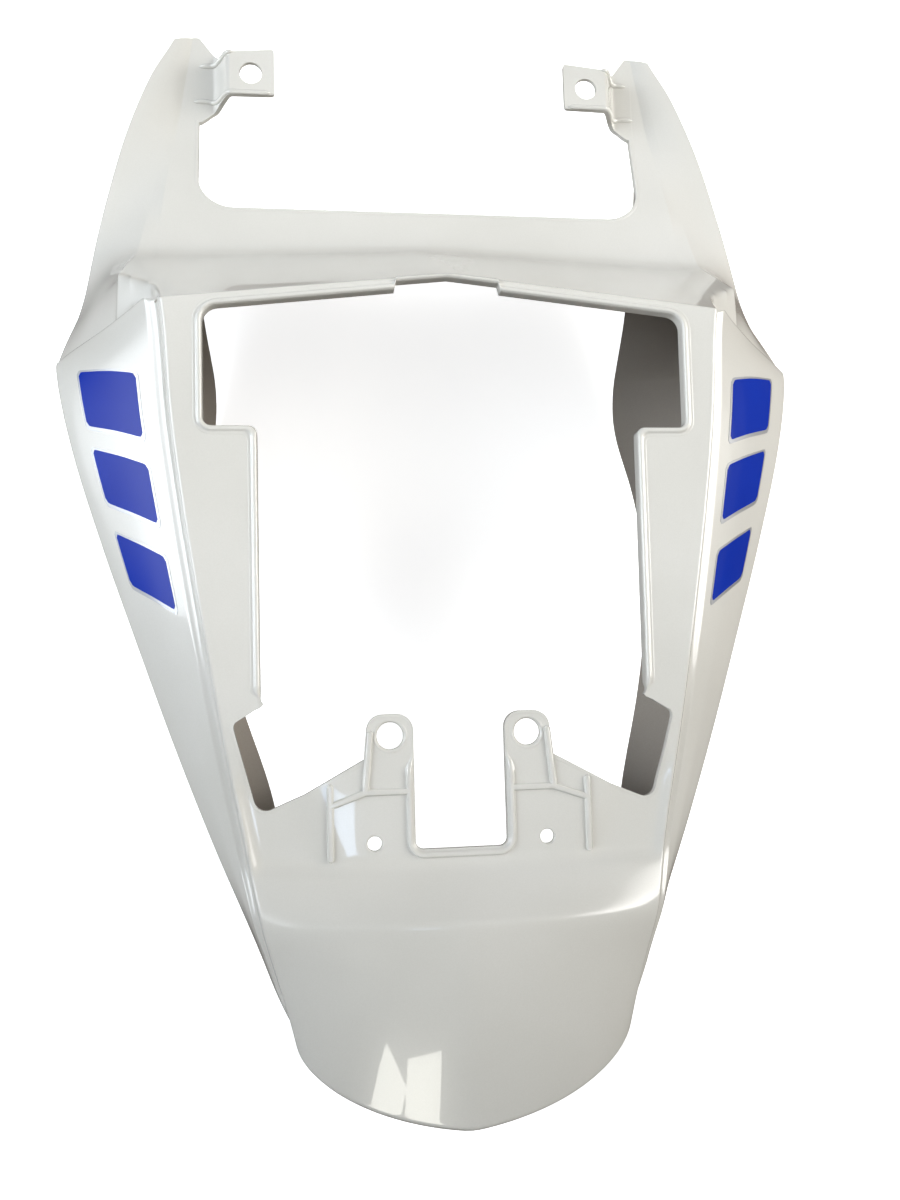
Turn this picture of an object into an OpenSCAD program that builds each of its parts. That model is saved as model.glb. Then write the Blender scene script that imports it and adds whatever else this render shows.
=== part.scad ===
/* [Shell] */
// Wall thickness of the moulding
wall = 3; // [2.4:0.1:4]
// Half width at the widest point of the flanks
flank_half_w = 202.5; // [197:0.5:206]
// Half width of the deck at its front corners
deck_half_w = 142; // [138:1:146]
// Half width of the tail where its end begins to round
tail_half_w = 83; // [80:1:86]
// How far the tail reaches behind the ear holes
tail_reach = 185; // [180:1:200]
// How far the arms reach in front of the ear holes
arm_reach = 414; // [408:1:430]

/* [Step wall] */
// Distance from the ear holes to the deck's front corners
deck_front = 216; // [212:1:220]
// How far the deck's front edge comes forward at the middle
deck_peak = 15; // [8:1:20]
// Height of the deck's front edge above the ear faces
deck_rise = 5; // [3:0.5:7]
// Drop from the ear faces to the floor behind the rider seat
floor_drop = 88; // [84:1:92]
// Distance from the ear holes to the foot of the step wall
wall_foot = 284; // [280:1:286]
// Depth of the joggle in front of the flanks
joggle = 4.5; // [3.5:0.5:6]

/* [Rider seat gap] */
// Half width of the gap between the arms
gap_half_w = 131; // [128:1:132]
// Distance from the ear holes to the gap's rear edge
gap_rear = 303; // [301:1:306]
// Corner radius of the gap
gap_r = 20; // [12:1:24]

/* [Deck opening] */
// Half width of the opening at its front
open_half_w = 122; // [118:1:124]
// Half width of the opening between the rails
rail_half_w = 96; // [92:1:98]
// Distance from the ear holes to the notch in each side
notch_y = 153; // [145:1:160]
// Distance from the ear holes to the rear end of the rails
rail_end = 18; // [15:1:24]
// Half width over the pockets behind the rails
pocket_half_w = 109; // [106:1:110]
// Width of the border strip in front of the opening
strip_w = 5.5; // [4:0.5:6.5]
// How far the middle of the deck's front edge stands forward
tongue = 4; // [2:0.5:5]

/* [Ears] */
// Distance between the two ear holes
ear_pitch = 68; // [66:1:70]
// Radius of each ear hole
ear_hole_r = 6.5; // [5:0.25:7]
// Half width of each ear
ear_r = 11.5; // [10:0.5:12]
// Corner radius of each ear
ear_round = 8; // [7:0.5:10]
// Depth of the slot between the ears
slot_depth = 55; // [50:1:57]
// Distance between the two small fixing holes
small_pitch = 85; // [82:1:88]
// Distance of the small fixing holes behind the ear holes
small_back = 51.5; // [50:0.5:54]
// Radius of each small fixing hole
small_hole_r = 3.5; // [2.5:0.25:4]

/* [Ribs and beads] */
// Width of the ribs on the ears and of the bead round the opening
rib_w = 3.2; // [2.6:0.2:4]
// Height of the ribs
rib_h = 1.6; // [1:0.2:2.4]
// Height of the bead round the opening
bead_h = 1.2; // [0.8:0.2:2]
// Depth of the lip turned down inside the opening
lip_depth = 6; // [5:0.5:10]

/* [Front tabs] */
// Distance between the two tab holes
tab_pitch = 200; // [198:1:202]
// Distance of the tab holes in front of the ear holes
tab_front = 383; // [381:1:385]
// Drop from the ear faces to the tab faces
tab_drop = 79; // [78:0.5:81]
// Radius of each tab hole
tab_hole_r = 6.5; // [5:0.25:7]
// Width of each tab
tab_w = 27; // [24:1:30]

/* [Side graphics] */
// Number of slanted bars on each flank
bar_count = 3; // [2:1:3]
// Thickness of the film
film_t = 0.4; // [0.3:0.1:0.6]

/* [Hidden] */
$fn = 48;
paint = "#e8e7e2";
film_blue = "#0b41c4";

// Smooth line through hand-picked stations [y, value], in rising order of y
function slope_at(t, i) =
    let(a = max(i - 1, 0), b = min(i + 1, len(t) - 1))
    (t[b][1] - t[a][1]) / (t[b][0] - t[a][0]);
function seg_of(t, y, i = 0) = (i >= len(t) - 2 || y < t[i + 1][0]) ? i : seg_of(t, y, i + 1);
function along(t, y) =
    let(
        i = seg_of(t, y),
        h = t[i + 1][0] - t[i][0],
        s = min(max((y - t[i][0]) / h, 0), 1),
        m0 = slope_at(t, i) * h,
        m1 = slope_at(t, i + 1) * h
    )
    t[i][1] * (1 + s * s * (2 * s - 3)) + m0 * s * (1 - s) * (1 - s)
    + t[i + 1][1] * s * s * (3 - 2 * s) - m1 * s * s * (1 - s);

// Places along the panel, all measured from the ear holes
tail_round = 140;
tail_corner = -tail_round;
crease_y = -88;
front_y = deck_front;

// Edge of the deck, then the same line going on up the step wall and out along the arms
edge_x = [
    [tail_corner, tail_half_w - 1],
    [crease_y, 96],
    [-35, 107],
    [0, 113.5],
    [60, 123.5],
    [112, 131.5],
    [160, 137.5],
    [front_y, deck_half_w],
    [240, 149],
    [285, 152],
    [340, 146],
    [arm_reach, 134.5]
];
edge_z = [
    [tail_corner, -3],
    [-110, 0],
    [crease_y, 4],
    [-60, -2],
    [-30, -3],
    [20, 0],
    [110, deck_rise * 0.5],
    [front_y, deck_rise]
];
// Height of the middle of the deck, the tray behind the ears and the tail's ridge
middle_z = [
    [-tail_reach, 10.5],
    [-135, 17],
    [crease_y - 3, 21],
    [crease_y, 21],
    [crease_y + 3, 20],
    [-65, 3],
    [-60, 0.5],
    [-54, 0],
    [12, 0],
    [110, deck_rise * 0.5],
    [front_y, deck_rise]
];
// Wall between the deck edge and the flank, and the flank's top line
side_drop = [[tail_corner, 1], [-110, 3], [crease_y, 5], [0, 6], [110, 9], [front_y, 13]];
side_run = [[tail_corner, 0.6], [-110, 2], [crease_y, 4], [0, 6], [110, 7], [front_y, 8]];
// Widest line of the flanks and arms, seen from above, and its height
wide_x = [
    [tail_corner, tail_half_w + 0.2],
    [-100, 99],
    [-50, 121],
    [0, 141],
    [50, 159.5],
    [100, 177.5],
    [150, 193.5],
    [195, flank_half_w + 1],
    [213, flank_half_w - 0.5],
    [235, 197.5],
    [275, 191.5],
    [311, 184],
    [349, 174],
    [386, 160],
    [arm_reach, 145.5]
];
wide_z = [
    [tail_corner, -4.5],
    [-100, -13],
    [0, -26],
    [100, -38],
    [193, -50],
    [213, -62],
    [235, -77],
    [256, -85],
    [300, -88.5],
    [350, -91],
    [arm_reach, -94]
];
// Lower edge of the flanks and arms
lower_x = [
    [tail_corner, tail_half_w - 2],
    [-110, 80],
    [-34, 91.5],
    [10, 107],
    [50, 120],
    [100, 131],
    [150, 134],
    [200, 127],
    [260, 134],
    [340, 138],
    [arm_reach, 136]
];
lower_z = [
    [tail_corner, -6.5],
    [-110, -17],
    [-34, -38],
    [10, -54],
    [50, -73],
    [100, -100],
    [150, -130],
    [180, -140],
    [220, -136],
    [300, -118],
    [360, -108],
    [arm_reach, -101]
];
// Line along which the arm's outer face meets the step wall and the seat floor
crest_x = [[200, 170], [242, 168], [276, 163], [310, 157], [360, 149], [arm_reach, 139]];

// Heights of the step wall and of the seat floor in front of it, d ahead of the deck edge
function front_line(x) = front_y + deck_peak * max(0, 1 - x / deck_half_w);
function wall_z(x, y) =
    let(
        top = front_line(x),
        foot = wall_foot + 4 * max(0, 1 - x / deck_half_w),
        s = (y - top) / (foot - top),
        fall = deck_rise + floor_drop - 6
    )
    s < 0 ? deck_rise
    : s < 0.8 ? deck_rise - fall * 0.91 * s / 0.8
    : s < 1.3 ? deck_rise - fall * (0.91 + 0.09 * (1 - pow((1.3 - s) / 0.5, 2)))
    : deck_rise - fall - (y - top - 1.3 * (foot - top)) * 0.25;
// The small plane that faces forward beside each front corner of the deck
facet_x = 148;
function facet_z(x) = -16.6 - 0.79 * (x - facet_x);
function floor_z(x, y) = max(min(wall_z(x, y), x > facet_x - 1 ? facet_z(x) : 99), -floor_drop - 9);

// Profile across half of the panel, from the middle to the lower edge
SHARES = [0, 0.12, 0.25, 0.42, 0.6, 0.77, 0.9, 0.97];
EDGE = len(SHARES);
COLS = EDGE + 9;
FRONT_SKEW = [3, 5, -2, -10, -17, -17, -6, 2];
FACET_SKEW = [4, 10, 15, 10, 5, 5, 2, 0];
function skew(k, w, f) =
    k < EDGE ? deck_peak * (1 - SHARES[k]) * (w + f)
    : k == EDGE ? 0
    : FRONT_SKEW[k - EDGE - 1] * w + FACET_SKEW[k - EDGE - 1] * f;

// How far the tail has dropped at u of its half width: a soft ridge between two flat faces
function tail_share(u) = 0.25 * u + 0.75 * pow(u, 2.4);
function deck_z(k, y) =
    let(m = along(middle_z, y), e = along(edge_z, y), s = SHARES[k])
    m + (e - m) * (y < -70 ? tail_share(s) : pow(s, 4));

function body_point(k, y) =
    let(
        e = along(edge_x, y),
        ez = along(edge_z, y),
        w = along(wide_x, y),
        wz = along(wide_z, y),
        l = along(lower_x, y),
        lz = along(lower_z, y),
        run = along(side_run, y),
        drop = along(side_drop, y),
        tx = e + run,
        tz = ez - drop,
        n = k - EDGE
    )
    n < 0 ? [e * SHARES[k], deck_z(k, y)]
    : n == 0 ? [e, ez]
    : n == 1 ? [e + run * 0.35, ez - drop * 0.8]
    : n == 2 ? [tx, tz]
    : n == 3 ? [tx + (w - tx) * 0.4, tz + (wz - tz) * 0.4 + 1.5]
    : n == 4 ? [tx + (w - tx) * 0.78, tz + (wz - tz) * 0.78 + 1.5]
    : n == 5 ? [w - (w - tx) * 0.03, wz + (tz - wz) * 0.03 + 1]
    : n == 6 ? [w - (w - l) * 0.03, wz - (wz - lz) * 0.06]
    : n == 7 ? [l + (w - l) * 0.5 + 3, lz + (wz - lz) * 0.5 - 3]
    : [l, lz];

// The arms: in front of the step wall the crest fades and the top becomes one rounded sheet
function ease(v) = let(u = min(max(v, 0), 1)) u * u * (3 - 2 * u);
function sheet_z(x, y, z, e, w, wz) =
    let(
        q = ease((y - wall_foot - 1) / 25),
        f = (x - e) / (w - e),
        base = floor_z(e, y)
    )
    z + (base + (wz + 2 - base) * (1 - (1 - f) * (1 - f)) - z) * q;

function cowl_point(k, y) =
    let(
        e = along(edge_x, y),
        w = along(wide_x, y),
        wz = along(wide_z, y) - joggle * 0.5,
        l = along(lower_x, y),
        lz = along(lower_z, y),
        c = along(crest_x, y),
        cz = floor_z(c, y),
        n = k - EDGE,
        x = n < 0 ? e * SHARES[k]
            : n == 1 ? max(e + (c - e) * 0.15, y < 250 ? facet_x : 0)
            : e + (c - e) * [0, 0, 0.6, 1, 1, 1, 1, 1, 1][n],
        mid = c + (w - c) * 0.5
    )
    n < 1 ? [x, floor_z(x, y)]
    : n < 4 ? [x, sheet_z(x, y, floor_z(x, y), e, w, wz)]
    : n == 4 ? [mid, sheet_z(mid, y, cz + (wz - cz) * 0.5, e, w, wz)]
    : n == 5 ? [w - (w - c) * 0.06, wz + 2]
    : n == 6 ? [w - 1, wz - 3]
    : n == 7 ? [l + (w - l) * 0.5 + 2, lz + (wz - lz) * 0.5 - 2]
    : [l, lz];

// Stations: how far back or forward each row of points lies, and how much it follows the front line
BODY_ROWS = [
    [-100, 0], [-91, 0], [-88, 0], [-85, 0], [-75, 0], [-65, 0], [-60, 0], [-54, 0], [-40, 0],
    [-25, 0], [0, 0], [12, 0], [35, 0], [60, 0], [75, 0], [90, 0], [105, 0], [117, 0.04],
    [129, 0.08], [141, 0.15], [153, 0.25], [165, 0.37], [177, 0.5], [188, 0.65], [199, 0.8],
    [208, 0.9], [front_y, 1]
];
COWL_ROWS = [
    [front_y + 1, 1, 0], [221, 0.5, 0.5], [226, 0, 1], [227.5, 0, 1], [238, 0, 0.85],
    [248, 0, 0.65], [258, 0, 0.45], [266, 0, 0.3], [273, 0, 0.2], [279, 0, 0.1], [285, 0, 0.05],
    [292, 0, 0], [302, 0, 0], [314, 0, 0], [330, 0, 0], [350, 0, 0], [370, 0, 0], [390, 0, 0],
    [404, 0, 0], [arm_reach, 0, 0]
];
TAIL_ROWS = [1, 0.97, 0.8, 0.6, 0.4, 0.2];

function tail_point(k, s) =
    let(
        x0 = body_point(k, -112),
        rim = body_point(k, tail_corner),
        x = x0[0] + (rim[0] - x0[0]) * s,
        u = k < EDGE ? SHARES[k] : 1,
        out = tail_corner - (tail_reach - tail_round) * (0.8 * sqrt(1 - u * u) + 0.2 * (1 - u)),
        y = -112 + (out + 112) * s,
        m = along(middle_z, y),
        z = k < EDGE ? m + (rim_side(s) - m) * tail_share(u) : x0[1] + (rim[1] - x0[1]) * s
    )
    [x, y, z - (s > 0.99 ? 2.5 * sqrt(1 - u * u) : 0)];
// Height of the tail's side edge, s of the way from its last plain row to its end
function rim_side(s) =
    let(a = body_point(EDGE, -112)[1], b = body_point(EDGE, tail_corner)[1])
    a + (b - a) * s;

function half_row(kind, r) =
    [for (k = [0:COLS - 1])
        kind == 0 ? tail_point(k, r)
        : let(
            y = r[0] + skew(k, r[1], kind == 1 ? 0 : r[2]),
            p = kind == 1 ? body_point(k, y) : cowl_point(k, y),
            tip = kind == 1 ? 0 : ease((r[0] - arm_reach + 29) / 29) * min(max((p[0] - 133) / 12, 0), 1)
        )
        [p[0], y - 3 * tip, p[1]]
    ];
ROWS = concat(
    [for (s = TAIL_ROWS) half_row(0, s)],
    [for (r = BODY_ROWS) half_row(1, r)],
    [for (r = COWL_ROWS) half_row(2, r)]
);

// Both halves of one row, from the left lower edge to the right one
function full_row(h) = concat(
    [for (k = [len(h) - 1:-1:1]) [-h[k][0], h[k][1], h[k][2]]],
    h
);
GRID = [for (h = ROWS) full_row(h)];

function unit(v) = let(l = norm(v)) l > 0 ? v / l : [0, 0, 1];
function grid_normal(g, i, j) =
    let(
        a = g[max(i - 1, 0)][j],
        b = g[min(i + 1, len(g) - 1)][j],
        c = g[i][max(j - 1, 0)],
        d = g[i][min(j + 1, len(g[0]) - 1)]
    )
    unit(cross(d - c, b - a));

// A closed solid from a grid of outer points and a wall of thickness t below them
module thick_skin(g, t, up = 0) {
    n = len(g);
    m = len(g[0]);
    outer = [for (i = [0:n - 1], j = [0:m - 1]) g[i][j] + up * grid_normal(g, i, j)];
    inner = [for (i = [0:n - 1], j = [0:m - 1]) g[i][j] - (t - up) * grid_normal(g, i, j)];
    o = n * m;
    top_faces = [for (i = [0:n - 2], j = [0:m - 2], h = [0, 1])
        h == 0 ? [i * m + j, (i + 1) * m + j, i * m + j + 1]
        : [i * m + j + 1, (i + 1) * m + j, (i + 1) * m + j + 1]];
    low_faces = [for (i = [0:n - 2], j = [0:m - 2], h = [0, 1])
        h == 0 ? [o + i * m + j, o + i * m + j + 1, o + (i + 1) * m + j]
        : [o + i * m + j + 1, o + (i + 1) * m + j + 1, o + (i + 1) * m + j]];
    side_faces = concat(
        [for (j = [0:m - 2]) [j, j + 1, o + j + 1, o + j]],
        [for (j = [0:m - 2]) let(b = (n - 1) * m) [b + j, o + b + j, o + b + j + 1, b + j + 1]],
        [for (i = [0:n - 2]) [i * m, o + i * m, o + (i + 1) * m, (i + 1) * m]],
        [for (i = [0:n - 2]) let(b = m - 1)
            [i * m + b, (i + 1) * m + b, o + (i + 1) * m + b, o + i * m + b]]
    );
    polyhedron(concat(outer, inner), concat(top_faces, low_faces, side_faces), 4);
}

// Half width of the part of the deck's front edge that stands forward
tongue_w = 27;

// Rounded corner of an outline: an arc of radius r at p, turning from direction a to b
function arc_pts(c, r, a, b, n = 6) = [for (i = [0:n]) c + r * [cos(a + (b - a) * i / n), sin(a + (b - a) * i / n)]];

// Half of the deck opening, grown outwards by g, from the middle of its front to the slot
function opening_half(g) =
    let(
        fy = front_y - strip_w,
        a = open_half_w + g,
        b = rail_half_w + g,
        p = pocket_half_w + g,
        e = ear_pitch / 2
    )
    concat(
        [[0, fy + deck_peak + tongue + g]],
        [for (x = [tongue_w - 1, tongue_w])
            [x, front_line(x) - strip_w + (x < tongue_w ? tongue : 0) + g]],
        arc_pts([a - 8 - g, fy - 5.5], 8 + g, 84, 0),
        arc_pts([a - 4 - g, notch_y + 4], 4 + g, 0, -90),
        arc_pts([b + 4, notch_y - 4 - g], 4, 90, 180, 4),
        arc_pts([b - 4 - g, rail_end + 2], 4 + g, 0, -50, 4),
        arc_pts([p - 4 - g, 6], 4 + g, 40, -14, 4),
        arc_pts([94, -28], 6 + g, -14, -110, 5),
        [[76, -27 - g], [65, -21 - g]],
        [[e + ear_r + 1.2 - g, -11 - g], [e + ear_r - g, -8]],
        arc_pts([e + ear_r - ear_round, ear_r - ear_round - 1], ear_round - g, 0, 90),
        arc_pts([e - ear_r + ear_round, ear_r - ear_round - 1], ear_round - g, 90, 180),
        [[e - ear_r + g, -8]],
        arc_pts([e - ear_r - 4, -slot_depth + 4], 4 + g, 0, -90, 4),
        [[0, -slot_depth - g]]
    );
function opening_outline(g) =
    let(h = opening_half(g), n = len(h))
    concat(h, [for (i = [n - 2:-1:1]) [-h[i][0], h[i][1]]]);

module opening_prism(g, z0, z1) {
    translate([0, 0, z0])
        linear_extrude(z1 - z0)
            polygon(opening_outline(g));
}

module rider_gap() {
    ahead = arm_reach + 50;
    translate([0, 0, -2 * floor_drop])
        linear_extrude(3 * floor_drop)
            polygon(concat(
                [[-gap_half_w, ahead], [-gap_half_w, gap_rear + gap_r]],
                arc_pts([-gap_half_w + gap_r, gap_rear + gap_r], gap_r, 180, 270),
                arc_pts([gap_half_w - gap_r, gap_rear + gap_r], gap_r, 270, 360),
                [[gap_half_w, ahead]]
            ));
}

module ear_holes() {
    for (side = [-1, 1])
        translate([side * ear_pitch / 2, 0, -20])
            cylinder(h = 40, r = ear_hole_r);
    for (side = [-1, 1])
        translate([side * small_pitch / 2, -small_back, -20])
            cylinder(h = 40, r = small_hole_r);
}

// Tilt of the deck plane, which rises from the ears to the step wall
tilt_start = 12;
deck_tilt = atan(deck_rise / (deck_front - tilt_start));
module on_deck() {
    translate([0, tilt_start, 0])
        rotate([deck_tilt, 0, 0])
            translate([0, -tilt_start, 0])
                children();
}

// A band that follows the edge of the opening, from g0 to g1 outside it
module edge_band(g0, g1, z0, z1) {
    translate([0, 0, z0])
        linear_extrude(z1 - z0)
            difference() {
                polygon(opening_outline(g1));
                polygon(opening_outline(g0));
            }
}

module rail_bead() {
    on_deck()
        intersection() {
            edge_band(0.3, 0.3 + rib_w * 0.75, -1, bead_h);
            translate([-deck_half_w, rail_end + 3, -10])
                cube([2 * deck_half_w, deck_front, 20]);
        }
}

module rail_lip() {
    on_deck()
        intersection() {
            edge_band(0.3, 2.1, -lip_depth, -1);
            translate([-deck_half_w, rail_end + 3, -10])
                cube([2 * deck_half_w, deck_front - rail_end - 25, 20]);
        }
}

// The middle of the deck's front edge, which stands forward over the step wall
module front_tongue() {
    depth = 5;
    translate([0, 0, deck_rise - depth])
        linear_extrude(depth - 0.4)
            polygon([
                [-tongue_w, front_line(tongue_w) - 4],
                [tongue_w, front_line(tongue_w) - 4],
                [tongue_w, front_line(tongue_w) + tongue],
                [0, front_line(0) + tongue],
                [-tongue_w, front_line(tongue_w) + tongue]
            ]);
}

// The bead that follows the slot between the ears
module slot_bead() {
    intersection() {
        edge_band(1.2, 1.2 + rib_w * 0.8, -1, rib_h);
        translate([-ear_pitch / 2 + 3, -slot_depth - 10, -5])
            cube([ear_pitch - 6, slot_depth - 2, 20]);
    }
}

// Straight strip of a rib from a to b
module strip(a, b) {
    run = b - a;
    translate(a)
        rotate([0, 0, atan2(run[1], run[0])])
            translate([0, -rib_w / 2])
                square([norm(run), rib_w]);
}

// Ribs on one ear: a knee with three arms, and one longer rib beside it
module ear_ribs() {
    knee_y = -27;
    inner = [ear_pitch / 2 - ear_r + 3, knee_y];
    knee = [ear_pitch / 2 + ear_r + 1, knee_y];
    front = [knee[0] - 2.6, 1];
    outer = [knee[0] + 17, -33];
    long_front = outer + [0, 9];
    long_rear = outer - [0, 25];
    translate([0, 0, -1])
        linear_extrude(rib_h + 1)
            union() {
                strip(inner, knee);
                strip(front, knee);
                strip(knee, outer);
                strip(long_front, long_rear);
                for (end = [inner, knee, front, long_front, long_rear])
                    translate(end)
                        circle(d = rib_w + 0.3);
            }
}

// Tab at the end of an arm: a plate with a hole, and a riser that joins it to the arm
module front_tab() {
    inner_x = tab_pitch / 2 - tab_w / 2;
    root_x = tab_pitch / 2 + tab_w / 2;
    arm_z = -floor_drop - 9;
    tip = arm_reach - tab_front;
    t = 2.8;
    difference() {
        intersection() {
            translate([0, tab_front + 60, 0])
                rotate([90, 0, 0])
                    linear_extrude(120)
                        polygon([
                            [inner_x, -tab_drop], [root_x - 1, -tab_drop],
                            [root_x + 2, -tab_drop - 3], [root_x + 7, arm_z + 3],
                            [root_x + 10, arm_z], [root_x + 24, arm_z - 1.5],
                            [root_x + 24, arm_z - 1.5 - t], [root_x + 9, arm_z - t],
                            [root_x - 2, -tab_drop - t], [inner_x, -tab_drop - t]
                        ]);
            translate([0, tab_front, -150])
                linear_extrude(120)
                    polygon([
                        [inner_x, -13], [root_x, -13.5], [root_x + 6, -14], [root_x + 11, -18],
                        [root_x + 16, -22], [root_x + 22, -23], [root_x + 22, tip],
                        [root_x + 17, tip], [root_x + 4, 13.5], [root_x, 12.5], [inner_x, 15]
                    ]);
        }
        translate([tab_pitch / 2, tab_front, -tab_drop - 20])
            cylinder(h = 40, r = tab_hole_r);
    }
    // Two short beads where the tab's riser meets the arm
    for (y = [-9, 13])
        translate([0, 0, arm_z - 2])
            linear_extrude(2 + bead_h)
                union() {
                    strip([root_x + 9, tab_front + y], [root_x + 19, tab_front + y]);
                    translate([root_x + 19, tab_front + y])
                        circle(d = rib_w + 0.3);
                }
}

module rear_panel() {
    color(paint) {
        difference() {
            union() {
                thick_skin(GRID, wall);
                rail_bead();
                front_tongue();
            }
            opening_prism(0, -20, 40);
            rider_gap();
            ear_holes();
        }
        rail_lip();
        slot_bead();
        for (side = [0, 1])
            mirror([side, 0, 0]) {
                ear_ribs();
                front_tab();
            }
    }
}

// Point on a flank: n profile places outside the deck edge, on the row at r
FLANK_ROWS = [for (r = BODY_ROWS) half_row(1, r)];
function flank_point(n, r) =
    let(
        i = seg_of(BODY_ROWS, r),
        f = (r - BODY_ROWS[i][0]) / (BODY_ROWS[i + 1][0] - BODY_ROWS[i][0]),
        k = EDGE + floor(n),
        g = n - floor(n),
        a = FLANK_ROWS[i][k] * (1 - f) + FLANK_ROWS[i + 1][k] * f,
        b = FLANK_ROWS[i][k + 1] * (1 - f) + FLANK_ROWS[i + 1][k + 1] * f
    )
    a * (1 - g) + b * g;

// Slanted bars of film that follow the flank, each shorter than the one before it
BAR_PLACES = [2.35, 2.65, 3, 3.3, 3.6, 3.9];
bar_front = deck_front - 17;
bar_pitch = 46;
bar_len = 36;
bar_slant = 16;
film_gap = 0.4;
function bar_grid(n) =
    let(front = bar_front - n * bar_pitch, len_n = bar_len - 3 * n)
    [for (v = [0:0.25:1])
        [for (place = BAR_PLACES)
            flank_point(place, front - len_n * (1 - v) - bar_slant * (BAR_PLACES[5] - place) / 1.55)]];

module side_graphic() {
    color(film_blue)
        for (n = [0:bar_count - 1])
            thick_skin(bar_grid(n), film_t, film_t + film_gap);
}

module graphic_left() { mirror([1, 0, 0]) side_graphic(); }
module graphic_right() { side_graphic(); }

rear_panel();
graphic_left();
graphic_right();
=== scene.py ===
import bpy
import bmesh
import math
import numpy as np
from mathutils import Vector, Matrix
from mathutils.bvhtree import BVHTree


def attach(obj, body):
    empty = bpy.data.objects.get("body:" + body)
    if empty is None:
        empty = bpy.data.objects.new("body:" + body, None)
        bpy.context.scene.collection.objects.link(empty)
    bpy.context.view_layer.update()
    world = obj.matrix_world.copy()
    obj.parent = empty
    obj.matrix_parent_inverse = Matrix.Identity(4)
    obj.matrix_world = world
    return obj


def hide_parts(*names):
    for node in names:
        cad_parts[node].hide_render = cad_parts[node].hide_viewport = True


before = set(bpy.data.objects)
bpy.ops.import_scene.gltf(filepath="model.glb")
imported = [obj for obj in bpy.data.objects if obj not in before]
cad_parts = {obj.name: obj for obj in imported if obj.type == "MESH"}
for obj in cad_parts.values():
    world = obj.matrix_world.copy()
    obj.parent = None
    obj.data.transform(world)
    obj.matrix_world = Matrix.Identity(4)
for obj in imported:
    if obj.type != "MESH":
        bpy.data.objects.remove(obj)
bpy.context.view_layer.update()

# All lengths below are in millimetres until a mesh is written; the row frame is in metres
MM = 0.001
WALL = 3.0

# The panel's lines: values at stations along Y
FLANK_HALF, DECK_HALF, TAIL_HALF = 202.5, 142.0, 83.0
TAIL_REACH, ARM_REACH = 185.0, 414.0
FRONT_Y, PEAK, RISE, DROP, FOOT, JOGGLE = 216.0, 15.0, 5.0, 88.0, 284.0, 4.5
GAP_HALF, GAP_REAR, GAP_R = 131.0, 303.0, 20.0
OPEN_HALF, RAIL_HALF, NOTCH_Y, RAIL_END, POCKET_HALF = 122.0, 96.0, 153.0, 18.0, 109.0
STRIP_W, TONGUE, TONGUE_W = 5.5, 4.0, 27.0
EAR_PITCH, EAR_HOLE_R, EAR_R, EAR_ROUND, SLOT = 68.0, 6.5, 11.5, 8.0, 55.0
SMALL_PITCH, SMALL_BACK, SMALL_R = 85.0, 51.5, 3.5
RIB_W, RIB_H, BEAD_H, LIP = 3.2, 1.6, 1.2, 6.0
TAB_PITCH, TAB_FRONT, TAB_DROP, TAB_R, TAB_W = 200.0, 383.0, 79.0, 6.5, 27.0
TAIL_ROUND, CREASE = 140.0, -88.0
TC = -TAIL_ROUND

EDGE_X = [(TC, TAIL_HALF - 1), (CREASE, 96), (-35, 107), (0, 113.5), (60, 123.5), (112, 131.5),
          (160, 137.5), (FRONT_Y, DECK_HALF), (240, 149), (285, 152), (340, 146), (ARM_REACH, 134.5)]
EDGE_Z = [(TC, -3), (-110, 0), (CREASE, 4), (-60, -2), (-30, -3), (20, 0), (110, RISE * 0.5),
          (FRONT_Y, RISE)]
MIDDLE_Z = [(-TAIL_REACH, 10.5), (-135, 17), (CREASE - 1.5, 21), (CREASE, 21), (CREASE + 1.5, 20.4),
            (-65, 3), (-60, 0.5), (-54, 0), (12, 0), (110, RISE * 0.5), (FRONT_Y, RISE)]
SIDE_DROP = [(TC, 1), (-110, 3), (CREASE, 5), (0, 6), (110, 9), (FRONT_Y, 13)]
SIDE_RUN = [(TC, 0.6), (-110, 2), (CREASE, 4), (0, 6), (110, 7), (FRONT_Y, 8)]
WIDE_X = [(TC, TAIL_HALF + 0.2), (-100, 99), (-50, 121), (0, 141), (50, 159.5), (100, 177.5),
          (150, 193.5), (195, FLANK_HALF + 1), (213, FLANK_HALF - 0.5), (235, 197.5), (275, 191.5),
          (311, 184), (349, 174), (386, 160), (ARM_REACH, 145.5)]
WIDE_Z = [(TC, -4.5), (-100, -13), (0, -26), (100, -38), (193, -50), (213, -62), (235, -77),
          (256, -85), (300, -88.5), (350, -91), (ARM_REACH, -94)]
LOWER_X = [(TC, TAIL_HALF - 2), (-110, 80), (-34, 91.5), (10, 107), (50, 120), (100, 131),
           (150, 134), (200, 127), (260, 134), (340, 138), (ARM_REACH, 136)]
LOWER_Z = [(TC, -6.5), (-110, -17), (-34, -38), (10, -54), (50, -73), (100, -100), (150, -130),
           (180, -140), (220, -136), (300, -118), (360, -108), (ARM_REACH, -101)]
CREST_X = [(200, 170), (242, 168), (276, 163), (310, 157), (360, 149), (ARM_REACH, 139)]
FACET_STEP = 2.5
SHELF_DROP = 2.2
SHELF_REAR, SHELF_FRONT = -68, -12
SHELF_TOP, SHELF_FOOT = (73.6, -25.5, 0.459), (83.2, -29.4, 0.487)
FOOT_START, FOOT_END, FOOT_SHARE, FLOOR_SLOPE = 0.8, 1.3, 0.91, 0.25
SIDE_LEDGE_X, SIDE_LEDGE_Z, SIDE_LEDGE_SLOPE = 148, -16.6, 0.79
FRONT_SKEW = [0, 3, 5, -2, -10, -17, -17, -6, 2]
FACET_SKEW = [0, 5.24, 10.8, 14.9, 10, 5, 5, 2, 0]


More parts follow.
